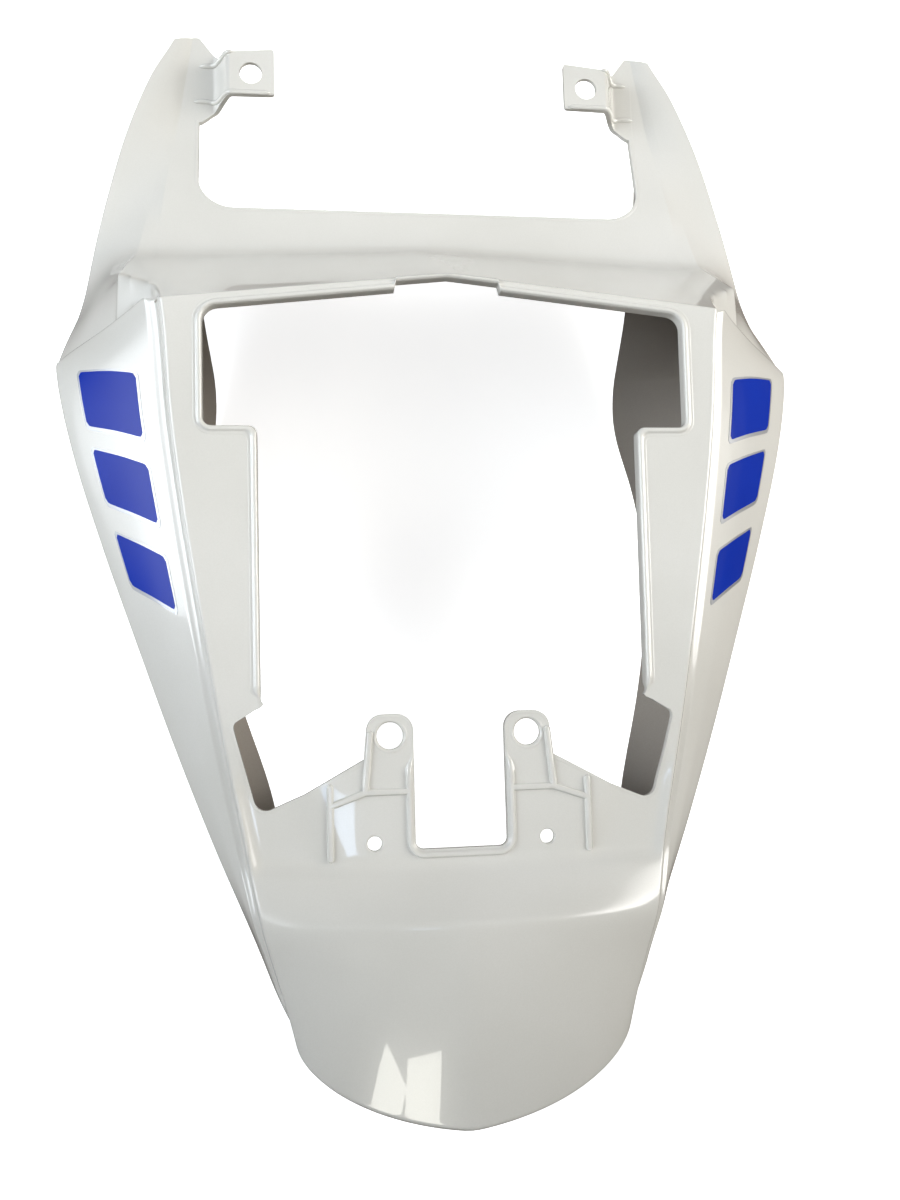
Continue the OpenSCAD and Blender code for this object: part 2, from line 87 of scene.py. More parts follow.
def along(t, y):
    """Smooth line through listed stations (y, value)."""
    i = 0
    while i < len(t) - 2 and y >= t[i + 1][0]:
        i += 1

    def slope(j):
        a, b = max(j - 1, 0), min(j + 1, len(t) - 1)
        return (t[b][1] - t[a][1]) / (t[b][0] - t[a][0])
    h = t[i + 1][0] - t[i][0]
    s = min(max((y - t[i][0]) / h, 0.0), 1.0)
    m0, m1 = slope(i) * h, slope(i + 1) * h
    return (t[i][1] * (1 + s * s * (2 * s - 3)) + m0 * s * (1 - s) ** 2
            + t[i + 1][1] * s * s * (3 - 2 * s) - m1 * s * s * (1 - s))


def smooth(x):
    x = min(max(x, 0.0), 1.0)
    return x * x * (3 - 2 * x)


def front_line(x):
    """The deck's front edge, with its peak in the middle."""
    return FRONT_Y + PEAK * max(0.0, 1 - abs(x) / DECK_HALF)


def wall_z(x, y):
    """The step wall, from the deck down to the seat floor, with a rounded foot."""
    top = front_line(x)
    foot = FOOT + 4 * max(0.0, 1 - x / DECK_HALF)
    s = (y - top) / (foot - top)
    fall = RISE + DROP - 6
    if s < 0:
        return RISE
    if s < FOOT_START:
        return RISE - fall * FOOT_SHARE * s / FOOT_START
    if s < FOOT_END:
        left = (FOOT_END - s) / (FOOT_END - FOOT_START)
        return RISE - fall * (FOOT_SHARE + (1 - FOOT_SHARE) * (1 - left ** 2))
    return RISE - fall - (y - top - FOOT_END * (foot - top)) * FLOOR_SLOPE


def floor_z(x, y):
    """The wall and floor, with the ledge beside the wall that slants down outwards."""
    z = wall_z(x, y)
    if x > SIDE_LEDGE_X - 1:
        z = min(z, SIDE_LEDGE_Z - SIDE_LEDGE_SLOPE * (x - SIDE_LEDGE_X))
    return max(z, -DROP - 9)


def tail_share(u):
    """How far the tail has dropped at u of its half width: a soft ridge between two flat faces."""
    return 0.25 * u + 0.75 * u ** 2.4


def shelf_drop(x, y, e):
    """The ears stand on a plateau: beside it a slanting ramp leads down to a lower shelf."""
    if y < SHELF_REAR or y > SHELF_FRONT:
        return 0.0
    top, foot = (x0 + (y - y0) * slope for x0, y0, slope in (SHELF_TOP, SHELF_FOOT))
    ends = smooth((y - SHELF_REAR - 1) / 8) * smooth((SHELF_FRONT - 1 - y) / 10) * smooth((e - x) / 6)
    return SHELF_DROP * smooth((x - top) / (foot - top)) * ends


def share_z(s, y):
    m, e = along(MIDDLE_Z, y), along(EDGE_Z, y)
    blend = smooth((y + 78) / 14)
    drop = shelf_drop(s * along(EDGE_X, y), y, along(EDGE_X, y))
    return m + (e - m) * (tail_share(s) * (1 - blend) + s ** 4 * blend) - drop


BODY_SPANS = [(0, 2), (2, 5), (5, 6), (6, 8)]
COWL_SPANS = [(0, 1), (1, 2), (2, 3), (3, 5), (5, 6), (6, 8)]


def spread(nodes, n, spans=BODY_SPANS):
    """Point at the place n along a list of nodes, smooth inside each span."""
    i = min(int(n), len(nodes) - 2)
    f = n - i
    a, b = nodes[i], nodes[i + 1]
    lo, hi = next(sp for sp in spans if sp[0] <= i < sp[1])
    p0 = nodes[i - 1] if i - 1 >= lo else None
    p3 = nodes[i + 2] if i + 2 <= hi else None
    out = []
    for c in (0, 1):
        d = b[c] - a[c]
        m0 = (b[c] - p0[c]) / 2 if p0 else d
        m1 = (p3[c] - a[c]) / 2 if p3 else d
        out.append(a[c] * (1 + f * f * (2 * f - 3)) + m0 * f * (1 - f) ** 2
                   + b[c] * f * f * (3 - 2 * f) - m1 * f * f * (1 - f))
    return out


def body_nodes(y):
    """Cross-section from the deck's edge down the flank and under it."""
    e, ez = along(EDGE_X, y), along(EDGE_Z, y)
    w, wz = along(WIDE_X, y), along(WIDE_Z, y)
    l, lz = along(LOWER_X, y), along(LOWER_Z, y)
    run, drop = along(SIDE_RUN, y), along(SIDE_DROP, y)
    tx, tz = e + run, ez - drop
    return [(e, ez), (e + run * 0.35, ez - drop * 0.8), (tx, tz),
            (tx + (w - tx) * 0.4, tz + (wz - tz) * 0.4 + 1.5),
            (tx + (w - tx) * 0.78, tz + (wz - tz) * 0.78 + 1.5),
            (w - (w - tx) * 0.03, wz + (tz - wz) * 0.03 + 1),
            (w - (w - l) * 0.03, wz - (wz - lz) * 0.06),
            (l + (w - l) * 0.5 + 3, lz + (wz - lz) * 0.5 - 3), (l, lz)]


def cowl_nodes(y):
    """Cross-section ahead of the deck, from the floor out over the arm and under it."""
    e = along(EDGE_X, y)
    w, wz = along(WIDE_X, y), along(WIDE_Z, y) - JOGGLE * 0.5
    l, lz = along(LOWER_X, y), along(LOWER_Z, y)
    c = along(CREST_X, y)
    cz = floor_z(c, y)
    soft = sum(floor_z(c, y + d) for d in (-16, -8, 0, 8, 16)) / 5
    x1, x2 = max(e + (c - e) * 0.15, SIDE_LEDGE_X if y < 250 else 0), e + (c - e) * 0.6
    q = smooth((y - 285) / 25)
    ez = floor_z(e, y)

    def sheet(x, z):
        f = (x - e) / (w - e)
        return (x, z + (ez + (wz + 2 - ez) * (1 - (1 - f) ** 2) - z) * q)
    return [(e, ez), sheet(x1, floor_z(x1, y)), sheet(x2, floor_z(x2, y)),
            sheet(c, cz), sheet(c + (w - c) * 0.5, soft + (wz - soft) * 0.5), (w - (w - c) * 0.06, wz + 2),
            (w - 1, wz - 3), (l + (w - l) * 0.5 + 2, lz + (wz - lz) * 0.5 - 2), (l, lz)]


def skew(t, w, f):
    """How far a profile place t (0-1 the deck, then 1-9) lies ahead of its row."""
    if t <= 1:
        return PEAK * (1 - t) * (w + f)
    n = t - 1
    i = min(int(n), 7)
    g = n - i
    a = FRONT_SKEW[i] + (FRONT_SKEW[i + 1] - FRONT_SKEW[i]) * g
    b = FACET_SKEW[i] + (FACET_SKEW[i + 1] - FACET_SKEW[i]) * g
    return a * w + b * f


def surface(kind, r, w, f, t):
    """Point of the outer skin. Kind 0 is the tail cap, 1 the deck and flanks, 2 all ahead of the deck."""
    if kind == 0:
        return tail_point(r, t)
    y = r + skew(t, w, f)
    if t <= 1:
        x = along(EDGE_X, y) * t
        return (x, y, share_z(t, y) if kind == 1 else floor_z(x, y))
    p = spread(body_nodes(y), t - 1) if kind == 1 else spread(cowl_nodes(y), t - 1, COWL_SPANS)
    if kind == 2 and t > 4:
        step = FACET_STEP * smooth((t - 4) / 0.05) * smooth((5.3 - t) / 0.8) * smooth((244 - r) / 16)
        p = [p[0] - step * 0.85, p[1] - step * 0.53]
    tip = smooth((r - 385) / 29) * min(max((p[0] - 133) / 12, 0), 1) if kind == 2 else 0
    return (p[0], y - 3 * tip, p[1])


TAIL_0 = -112.0


def tail_point(s, t):
    """Point of the rounded tail cap: s runs from its first row to its rim."""
    u = min(t, 1.0)
    if t <= 1:
        x0 = (along(EDGE_X, TAIL_0) * t, share_z(t, TAIL_0))
        rim = (along(EDGE_X, TC) * t, 0)
    else:
        x0 = spread(body_nodes(TAIL_0), t - 1)
        rim = spread(body_nodes(TC), t - 1)
    x = x0[0] + (rim[0] - x0[0]) * s - (3.0 * s * s * smooth((t - 1) / 0.5) if t > 1 else 0)
    out = TC - (TAIL_REACH - TAIL_ROUND) * (0.8 * math.sqrt(max(0.0, 1 - u * u)) + 0.2 * (1 - u))
    y = TAIL_0 + (out - TAIL_0) * s
    a, b = along(EDGE_Z, TAIL_0), along(EDGE_Z, TC)
    side = a + (b - a) * s
    m = along(MIDDLE_Z, y)
    z = m + (side - m) * tail_share(u) if t <= 1 else x0[1] + (rim[1] - x0[1]) * s
    tuck = 2.5 * math.sqrt(max(0.0, 1 - u * u))
    return (x, y, z - tuck * max(0.0, (s - 0.975) / 0.025) ** 2)


# The dense surface
def fill(marks, step, fine, reach):
    """Places between marks: fine steps within reach of a mark flagged sharp, wider ones elsewhere."""
    out = []
    for (a, sa), (b, sb) in zip(marks, marks[1:]):
        x = a
        while x < b - 1e-6:
            out.append(x)
            near = min(x - a if sa else 1e9, b - x if sb else 1e9)
            x += fine if near < reach else min(step, fine + (near - reach) * 0.5)
        if out and b - out[-1] < fine * 0.5:
            out.pop()
    out.append(marks[-1][0])
    return out


def row_list():
    """Rows as (kind, r, w, f), from the tail's end to the arms' tips."""
    rows = []
    for s in [1, 0.996, 0.99, 0.985, 0.98, 0.97, 0.96, 0.94, 0.92, 0.89, 0.86, 0.82, 0.78, 0.73,
              0.68, 0.62, 0.56, 0.5, 0.43, 0.36, 0.29, 0.22, 0.15, 0.08]:
        rows.append((0, s, 0, 0))
    body = [(-110, 0), (-91, 0), (-88, 0), (-85, 0), (-54, 0), (110, 0), (135, 0.1), (160, 0.3),
            (185, 0.6), (205, 0.85), (FRONT_Y, 1)]
    marks = [(-110, False), (-91, True), (-88, True), (-85, True), (-65, True), (-60, True),
             (-54, True), (40, False), (120, False), (FRONT_Y, True)]
    for r in fill(marks, 4.0, 0.9, 2.7):
        w = np.interp(r, [b[0] for b in body], [b[1] for b in body])
        rows.append((1, r, float(w), 0))
    cowl = [(FRONT_Y + 1, 1, 0), (221, 0.5, 0.5), (226, 0, 1), (227.5, 0, 1), (238, 0, 0.85),
            (248, 0, 0.65), (258, 0, 0.45), (266, 0, 0.3), (273, 0, 0.2), (279, 0, 0.1),
            (285, 0, 0.05), (292, 0, 0), (ARM_REACH, 0, 0)]
    marks = [(FRONT_Y + 1, True), (221, False), (226.8, True), (292, False), (330, False),
             (ARM_REACH - 3, False), (ARM_REACH, True)]
    for r in fill(marks, 3.5, 0.9, 2.7):
        w = np.interp(r, [c[0] for c in cowl], [c[1] for c in cowl])
        f = np.interp(r, [c[0] for c in cowl], [c[2] for c in cowl])
        rows.append((2, r, float(w), float(f)))
    return rows


def col_list():
    deck = [i / 26 for i in range(24)] + [0.905, 0.925, 0.94, 0.955, 0.967, 0.976, 0.984, 0.99, 0.995]
    wall = [1 + v for v in (0, 0.1, 0.25, 0.45, 0.7, 0.86, 0.95, 1.0, 1.05, 1.14, 1.3, 1.5, 1.7, 1.87)]
    flank = [3 + v for v in (0, 0.03, 0.07, 0.12, 0.2, 0.3, 0.45, 0.6, 0.75, 0.85, 0.93, 1.0, 1.04, 1.09,
                             1.16, 1.26, 1.4, 1.6, 1.8, 2.0, 2.2, 2.4, 2.55, 2.7, 2.8, 2.87, 2.93, 2.97)]
    under = [6 + v for v in (0, 0.15, 0.35, 0.6, 0.85, 1.0, 1.03, 1.07, 1.12, 1.2, 1.35, 1.5, 1.75,
                             2.0, 2.3, 2.6, 2.8, 2.92, 3.0)]
    return deck + wall + flank + under


def relax(G, n):
    """Rounds the creases of a grid a little: n passes of averaging with the four neighbours."""
    for _ in range(n):
        A = G.copy()
        A[1:-1, :] = 0.25 * G[:-2, :] + 0.5 * G[1:-1, :] + 0.25 * G[2:, :]
        G = A.copy()
        G[:, 1:-1] = 0.25 * A[:, :-2] + 0.5 * A[:, 1:-1] + 0.25 * A[:, 2:]
    return G


def grid_normals(G):
    du = np.empty_like(G)
    dv = np.empty_like(G)
    du[:, 1:-1] = G[:, 2:] - G[:, :-2]
    du[:, 0], du[:, -1] = G[:, 1] - G[:, 0], G[:, -1] - G[:, -2]
    dv[1:-1] = G[2:] - G[:-2]
    dv[0], dv[-1] = G[1] - G[0], G[-1] - G[-2]
    n = np.cross(du, dv)
    return n / np.maximum(np.linalg.norm(n, axis=2, keepdims=True), 1e-9)


def outer_grid():
    rows, cols = row_list(), col_list()
    half = [[surface(*r, t) for t in cols] for r in rows]
    cut_at = next(i for i, r in enumerate(rows) if r[0] == 2)
    a, b = np.array(half[cut_at - 1]), np.array(half[cut_at])
    half[cut_at:cut_at] = [(a + (b - a) * f).tolist() for f in (0.08, 0.2, 0.4, 0.6, 0.8, 0.92)]
    half = np.array(half)
    mirror = half[:, :0:-1] * np.array([-1.0, 1.0, 1.0])
    G = np.concatenate([mirror, half], axis=1)
    return relax(G, 2)


def quads_of(nr, nc, base=0, flip=False):
    out = []
    for i in range(nr - 1):
        for j in range(nc - 1):
            a = base + i * nc + j
            q = (a, a + 1, a + nc + 1, a + nc)
            out.append(q[::-1] if flip else q)
    return out


def closed_quads(nr, nc):
    """Faces of a closed sheet: the top grid, the grid under it and the four edges."""
    o = nr * nc
    F = quads_of(nr, nc) + quads_of(nr, nc, o, True)
    for j in range(nc - 1):
        F.append((j + 1, j, o + j, o + j + 1))
        b = (nr - 1) * nc
        F.append((b + j, b + j + 1, o + b + j + 1, o + b + j))
    for i in range(nr - 1):
        F.append((i * nc, (i + 1) * nc, o + (i + 1) * nc, o + i * nc))
        b = nc - 1
        F.append(((i + 1) * nc + b, i * nc + b, o + i * nc + b, o + (i + 1) * nc + b))
    return F


def shell_mesh(G, N, t, soft):
    """Closed solid from an outer grid and a wall of thickness t under it."""
    nr, nc = G.shape[:2]
    outer = G.reshape(-1, 3)
    NS = relax(N, soft)
    NS /= np.maximum(np.linalg.norm(NS, axis=2, keepdims=True), 1e-9)
    inner = relax(G, soft) - NS * t
    depth = ((G - inner) * N).sum(axis=2, keepdims=True)
    inner = np.where(depth < 0.5 * t, G - N * 0.5 * t, inner).reshape(-1, 3)
    # Where the inner skin would come out through the outer one, the wall thins
    tree = BVHTree.FromPolygons([tuple(p) for p in outer], quads_of(nr, nc))
    for k, (a, b, m) in enumerate(zip(inner, outer, N.reshape(-1, 3))):
        for share in (0.4, 0.2, 0.1):
            at, up, _, away = tree.find_nearest(Vector(a))
            if (Vector(a) - at).dot(up) < 0 and away > 0.08 * share * t:
                break
            a = b - m * share * t
        inner[k] = a
    V = np.concatenate([outer, inner])
    return V, closed_quads(nr, nc)


def make(name, V, F, mat, sharp):
    """Object from points in millimetres; edges over sharp degrees stay crisp."""
    me = bpy.data.meshes.new(name)
    me.from_pydata([tuple(c * MM for c in v) for v in V], [], F)
    me.validate()
    me.update()
    me.polygons.foreach_set("use_smooth", [True] * len(me.polygons))
    if sharp:
        me.set_sharp_from_angle(angle=math.radians(sharp))
    o = bpy.data.objects.new(name, me)
    bpy.context.scene.collection.objects.link(o)
    if mat:
        me.materials.append(mat)
    return o


def prism(outline, z0, z1):
    n = len(outline)
    V = [(x, y, z0) for x, y in outline] + [(x, y, z1) for x, y in outline]
    F = [tuple(range(n))[::-1], tuple(range(n, 2 * n))]
    F += [(i, (i + 1) % n, n + (i + 1) % n, n + i) for i in range(n)]
    return V, F


def face_outwards(obj):
    bm = bmesh.new()
    bm.from_mesh(obj.data)
    bmesh.ops.recalc_face_normals(bm, faces=bm.faces)
    bm.to_mesh(obj.data)
    bm.free()


def smooth_shade(obj, sharp):
    obj.data.polygons.foreach_set("use_smooth", [True] * len(obj.data.polygons))
    obj.data.set_sharp_from_angle(angle=math.radians(sharp))


def cut(obj, V, F):
    """Cuts a prism out of the object and keeps the result as its mesh."""
    tool = make("tool", V, F, None, 0)
    face_outwards(tool)
    m = obj.modifiers.new("cut", "BOOLEAN")
    m.operation = "DIFFERENCE"
    m.solver = "EXACT"
    m.object = tool
    dg = bpy.context.evaluated_depsgraph_get()
    new = bpy.data.meshes.new_from_object(obj.evaluated_get(dg))
    obj.modifiers.clear()
    old = obj.data
    obj.data = new
    bpy.data.meshes.remove(old)
    bpy.data.objects.remove(tool)


# Outlines of the cuts, seen from above
def arc(cx, cy, r, a, b, n):
    return [(cx + r * math.cos(math.radians(a + (b - a) * i / n)),
             cy + r * math.sin(math.radians(a + (b - a) * i / n))) for i in range(n + 1)]


def opening_half(g):
    """Right half of the deck opening, grown by g."""
    fy = FRONT_Y - STRIP_W
    a, b, p, e = OPEN_HALF + g, RAIL_HALF + g, POCKET_HALF + g, EAR_PITCH / 2
    pts = [(0, fy + PEAK + TONGUE + g)]
    pts += [(x, front_line(x) - STRIP_W + (TONGUE if x < TONGUE_W else 0) + g)
            for x in (TONGUE_W - 1, TONGUE_W)]
    pts += arc(a - 8 - g, fy - 5.5, 8 + g, 84, 0, 10)
    pts += arc(a - 4 - g, NOTCH_Y + 4, 4 + g, 0, -90, 8)
    pts += arc(b + 4, NOTCH_Y - 4 - g, 4, 90, 180, 8)
    pts += arc(b - 4 - g, RAIL_END + 2, 4 + g, 0, -50, 6)
    pts += arc(p - 4 - g, 6, 4 + g, 40, -14, 6)
    pts += arc(94, -28, 6 + g, -14, -110, 8)
    pts += [(76, -27 - g), (65, -21 - g), (e + EAR_R + 1.2 - g, -11 - g), (e + EAR_R - g, -8)]
    pts += arc(e + EAR_R - EAR_ROUND, EAR_R - EAR_ROUND - 1, EAR_ROUND - g, 0, 90, 8)
    pts += arc(e - EAR_R + EAR_ROUND, EAR_R - EAR_ROUND - 1, EAR_ROUND - g, 90, 180, 8)
    pts += [(e - EAR_R + g, -8)]
    pts += arc(e - EAR_R - 4, -SLOT + 4, 4 + g, 0, -90, 8)
    pts += [(0, -SLOT - g)]
    return pts


def opening_outline(g):
    h = opening_half(g)
    return h + [(-x, y) for x, y in h[-2:0:-1]]


def gap_outline(g):
    """The rider's seat gap, from the left arm's tip round its rear edge to the right arm's tip."""
    h, r = GAP_HALF + g, GAP_R + g
    pts = [(-h, 500)] + arc(-h + r, GAP_REAR - g + r, r, 180, 270, 12)
    pts += arc(h - r, GAP_REAR - g + r, r, 270, 360, 12) + [(h, 500)]
    return pts


def refine(pts, step, closed):
    """Points at most step apart, with the source index kept so that offset copies match."""
    plan = []
    n = len(pts)
    for i in range(n if closed else n - 1):
        a, b = pts[i], pts[(i + 1) % n]
        k = max(1, int(math.ceil(math.dist(a, b) / step)))
        plan += [(i, (i + 1) % n, j / k) for j in range(k)]
    if not closed:
        plan.append((n - 1, n - 1, 0.0))
    return plan


def apply_plan(pts, plan):
    return [(pts[i][0] + (pts[j][0] - pts[i][0]) * f, pts[i][1] + (pts[j][1] - pts[i][1]) * f)
            for i, j, f in plan]


# Materials
def principled(name):
    m = bpy.data.materials.new(name)
    m.use_nodes = True
    return m, m.node_tree, m.node_tree.nodes["Principled BSDF"]


def node(nt, kind, **sets):
    n = nt.nodes.new(kind)
    for k, v in sets.items():
        if k in n.inputs:
            n.inputs[k].default_value = v
        else:
            setattr(n, k, v)
    return n


def ramp(nt, stops):
    r = nt.nodes.new("ShaderNodeValToRGB")
    el = r.color_ramp.elements
    while len(el) < len(stops):
        el.new(0.5)
    for e, (p, c) in zip(el, stops):
        e.position = p
        e.color = (*c, 1) if len(c) == 3 else c
    return r


def paint_material(name, base, dark, light, fleck=1.0, rough=0.24, metal=0.0):
    """Solid paint with fine pearl flecks under clear coat."""
    m, nt, b = principled(name)
    co = node(nt, "ShaderNodeTexCoord")
    cloud = node(nt, "ShaderNodeTexNoise", Scale=9.0, Detail=3.0)
    nt.links.new(co.outputs["Object"], cloud.inputs["Vector"])
    grain = node(nt, "ShaderNodeTexNoise", Scale=1400.0, Detail=2.0)
    nt.links.new(co.outputs["Object"], grain.inputs["Vector"])
    r1 = ramp(nt, [(0.35, dark), (0.5, base), (0.68, light)])
    mix = node(nt, "ShaderNodeMix", data_type="FLOAT")
    mix.inputs[0].default_value = 0.25 * fleck
    nt.links.new(cloud.outputs["Fac"], mix.inputs[2])
    nt.links.new(grain.outputs["Fac"], mix.inputs[3])
    nt.links.new(mix.outputs[0], r1.inputs["Fac"])
    nt.links.new(r1.outputs["Color"], b.inputs["Base Color"])
    bump = node(nt, "ShaderNodeBump", Strength=0.05 * fleck, Distance=0.0002)
    nt.links.new(grain.outputs["Fac"], bump.inputs["Height"])
    nt.links.new(bump.outputs["Normal"], b.inputs["Normal"])
    b.inputs["Roughness"].default_value = rough
    b.inputs["Metallic"].default_value = metal
    b.inputs["Coat Weight"].default_value = 1.0
    b.inputs["Coat Roughness"].default_value = 0.03
    b.inputs["Coat IOR"].default_value = 1.5
    return m


# Inner skin: unpainted beige moulding, its colour darkened and browned with painted shade for the shade
# that falls inside the shell
INNER = paint_material("bare_inside_painted_shade", (0.34, 0.305, 0.265), (0.30, 0.27, 0.235), (0.38, 0.345, 0.30),
                       rough=0.5)
INNER.node_tree.nodes["Principled BSDF"].inputs["Coat Weight"].default_value = 0.0
PAINT = paint_material("pearl_paint", (0.73, 0.72, 0.675), (0.70, 0.69, 0.645), (0.77, 0.76, 0.72))
BLUE = paint_material("film_blue", (0.0008, 0.027, 0.38), (0.0005, 0.022, 0.34), (0.001, 0.032, 0.42),
                      fleck=0.6, rough=0.35)
BLUE.node_tree.nodes["Principled BSDF"].inputs["Coat Weight"].default_value = 0.3
BLUE.node_tree.nodes["Principled BSDF"].inputs["Specular IOR Level"].default_value = 0.05
SILVER = paint_material("film_silver", (0.42, 0.43, 0.45), (0.36, 0.37, 0.39), (0.5, 0.51, 0.53),
                        rough=0.3, metal=0.6)

# The panel
G = outer_grid()
N = grid_normals(G)
V, F = shell_mesh(G, N, WALL, 9)
panel = make("panel_shell", V, F, PAINT, 40)
# The inner faces take the inner material, whose dark colour is painted shade
panel.data.materials.append(INNER)
skin = (G.shape[0] - 1) * (G.shape[1] - 1)
for poly in panel.data.polygons[skin:2 * skin]:
    poly.material_index = 1

# Uncut surface, to seat beads and rims on it
BVH = BVHTree.FromPolygons([tuple(p) for p in G.reshape(-1, 3)], quads_of(*G.shape[:2]))


def on_top(x, y):
    """Height of the uncut surface at (x, y)."""
    hit = BVH.ray_cast(Vector((x, y, 60)), Vector((0, 0, -1)))
    if hit[0] is None:
        near = BVH.find_nearest(Vector((x, y, 0 if y < 230 else -90)))
        return near[0].z
    return hit[0].z


cut(panel, *prism(opening_outline(0.1), -20, 40))
cut(panel, *prism(gap_outline(0.1), -200, 60))
for sx in (-1, 1):
    cut(panel, *prism(arc(sx * EAR_PITCH / 2, 0, EAR_HOLE_R + 0.8, 0, 352.5, 47), -20, 40))
    cut(panel, *prism(arc(sx * SMALL_PITCH / 2, -SMALL_BACK, SMALL_R + 0.5, 0, 352.5, 47), -20, 40))
smooth_shade(panel, 40)


def sweep(name, outline_fn, plan, profile_fn, closed, mat, sharp):
    """A strip that follows an outline. profile_fn(x, y) gives (offset, height) pairs for each point."""
    lines = {}
    base = apply_plan(outline_fn(0.0), plan)
    count = len(plan)
    profs = [profile_fn(x, y) for x, y in base]
    m = len(profs[0])
    V = []
    for i in range(count):
        for g, h in profs[i]:
            key = round(g, 3)
            if key not in lines:
                lines[key] = apply_plan(outline_fn(g), plan)
            x, y = lines[key][i]
            V.append((x, y, on_top(x, y) + h))
    F = []
    for i in range(count if closed else count - 1):
        k = (i + 1) % count
        for j in range(m - 1):
            F.append((i * m + j, i * m + j + 1, k * m + j + 1, k * m + j))
    return make(name, V, F, mat, sharp)


RAILS = refine(opening_outline(0.0), 3.0, True)


def rim_profile(x, y):
    """A bead with a lip below it along the rails, a rib round the ears' slot and a plain rim elsewhere."""
    ax = abs(x)
    rail = smooth((y - RAIL_END - 2) / 3)
    slot = smooth((EAR_PITCH / 2 - 3 - ax) / 2) * smooth((-12 - y) / 3)
    h = BEAD_H * rail
    s = RIB_H * slot
    low = -LIP * rail - 3.2 * (1 - rail)
    k = 0.35 + 0.65 * max(rail, slot)
    prof = [(5.0, -0.4), (4.6, 0.03), (4.2, 0.06), (3.9, max(s * 0.75, 0.07)), (3.4, max(s, 0.08)),
            (2.9, max(s, h * 0.15, 0.08)), (2.5, max(s, h * 0.8, 0.08)), (2.0, max(s, h, 0.08)),
            (1.5, max(s * 0.75, h, 0.08)), (1.1, max(0.1 * s, h, 0.07)),
            (0.6, max(h * 0.8, 0.06)), (0.25, h * 0.3 - 0.2), (0.05, -0.7), (0.0, -1.4), (0.0, low)]
    return [(g * k if g > 0.6 else g, z) for g, z in prof]


pieces = [panel, sweep("opening_rim", opening_outline, RAILS, rim_profile, True, PAINT, 60)]


def ring(name, cx, cy, prof, mat, n=64):
    """A rounded edge round a hole, from (radius, height) pairs."""
    z = on_top(cx + prof[0][0], cy)
    V, F = [], []
    for i in range(n):
        a = 2 * math.pi * i / n
        for r, h in prof:
            V.append((cx + r * math.cos(a), cy + r * math.sin(a), z + h))
    m = len(prof)
    for i in range(n):
        k = (i + 1) % n
        for j in range(m - 1):
            F.append((i * m + j, i * m + j + 1, k * m + j + 1, k * m + j)[::-1])
    return make(name, V, F, mat, 50)


EAR_HOLE_EDGE = [(2.2, -0.3), (1.9, 0.05), (1.1, 0.06), (0.8, -0.1), (0.2, -0.7), (0, -1.0), (0, -3.1)]
SMALL_EDGE = [(1.7, -0.3), (1.4, 0.05), (1.0, 0.06), (0.7, -0.1), (0.2, -0.5), (0, -0.8), (0, -3.1)]
for sx, tag in ((-1, "left"), (1, "right")):
    for name, cx, cy, r, edge in (("ear_hole_", EAR_PITCH / 2, 0, EAR_HOLE_R, EAR_HOLE_EDGE),
                                  ("small_hole_", SMALL_PITCH / 2, -SMALL_BACK, SMALL_R, SMALL_EDGE)):
        pieces.append(ring(name + tag, sx * cx, cy, [(r + out, h) for out, h in edge], PAINT))


def strip(name, path, width, height, mat):
    """A rounded rib along a path on the surface."""
    pts = []
    for a, b in zip(path, path[1:]):
        k = max(1, int(math.dist(a, b) / 2.5))
        pts += [(a[0] + (b[0] - a[0]) * j / k, a[1] + (b[1] - a[1]) * j / k) for j in range(k)]
    pts.append(path[-1])
    n = len(pts)
    prof = [(-0.62, -0.3), (-0.54, 0.02), (-0.48, 0.2), (-0.42, 0.7), (-0.32, 0.95), (-0.18, 1.0), (0, 1.0),
            (0.18, 1.0), (0.32, 0.95), (0.42, 0.7), (0.48, 0.2), (0.54, 0.02), (0.62, -0.3)]
    V, F, rows = [], [], []
    for i, p in enumerate(pts):
        a = pts[max(i - 1, 0)]
        b = pts[min(i + 1, n - 1)]
        d = Vector((b[0] - a[0], b[1] - a[1])).normalized()
        rows.append((p, d, 1.0))
    head = [(pts[0][0] - rows[0][1].x * width * 0.5 * c, pts[0][1] - rows[0][1].y * width * 0.5 * c, s)
            for c, s in ((1.1, 0.05), (1.0, 0.35), (0.85, 0.62), (0.6, 0.85), (0.3, 0.97))]
    tail = [(pts[-1][0] + rows[-1][1].x * width * 0.5 * c, pts[-1][1] + rows[-1][1].y * width * 0.5 * c, s)
            for c, s in ((0.3, 0.97), (0.6, 0.85), (0.85, 0.62), (1.0, 0.35), (1.1, 0.05))]
    full = ([((x, y), rows[0][1], s) for x, y, s in head] + rows
            + [((x, y), rows[-1][1], s) for x, y, s in tail])
    for p, d, s in full:
        nx, ny = -d.y, d.x
        for u, h in prof:
            x, y = p[0] + nx * u * width * s, p[1] + ny * u * width * s
            hh = h * height if h < 0 else h * height * min(1.0, s * 1.15)
            V.append((x, y, on_top(p[0], p[1]) + hh))
    m = len(prof)
    for i in range(len(full) - 1):
        for j in range(m - 1):
            F.append((i * m + j, i * m + j + 1, (i + 1) * m + j + 1, (i + 1) * m + j)[::-1])
    return make(name, V, F, mat, 60)


for sx, tag in ((-1, "left"), (1, "right")):
    e, kx = EAR_PITCH / 2, EAR_PITCH / 2 + EAR_R + 1
    for k, path in enumerate([
        [(e - EAR_R + 3, -27), (kx, -27)],
        [(kx - 2.6, 1), (kx, -27)],
        [(kx, -27), (kx + 17, -33)],
        [(kx + 17, -24), (kx + 17, -58)],
    ]):
        path = [(sx * x, y) for x, y in path]
        pieces.append(strip("ear_rib_%s_%d" % (tag, k), path, RIB_W, RIB_H, PAINT))

# Rim of the rider's seat gap
GAPS = refine(gap_outline(0.0), 4.0, False)
GAPS = [g for g in GAPS if apply_plan(gap_outline(0.0), [g])[0][1] < TAB_FRONT - 20]


def gap_profile(x, y):
    """The same rounded edge all along."""
    return [(2.6, -0.35), (2.2, 0.05), (1.0, 0.06), (0.6, -0.1), (0.3, -0.35), (0.1, -0.7), (0.0, -1.2),
            (0.0, -3.2)]


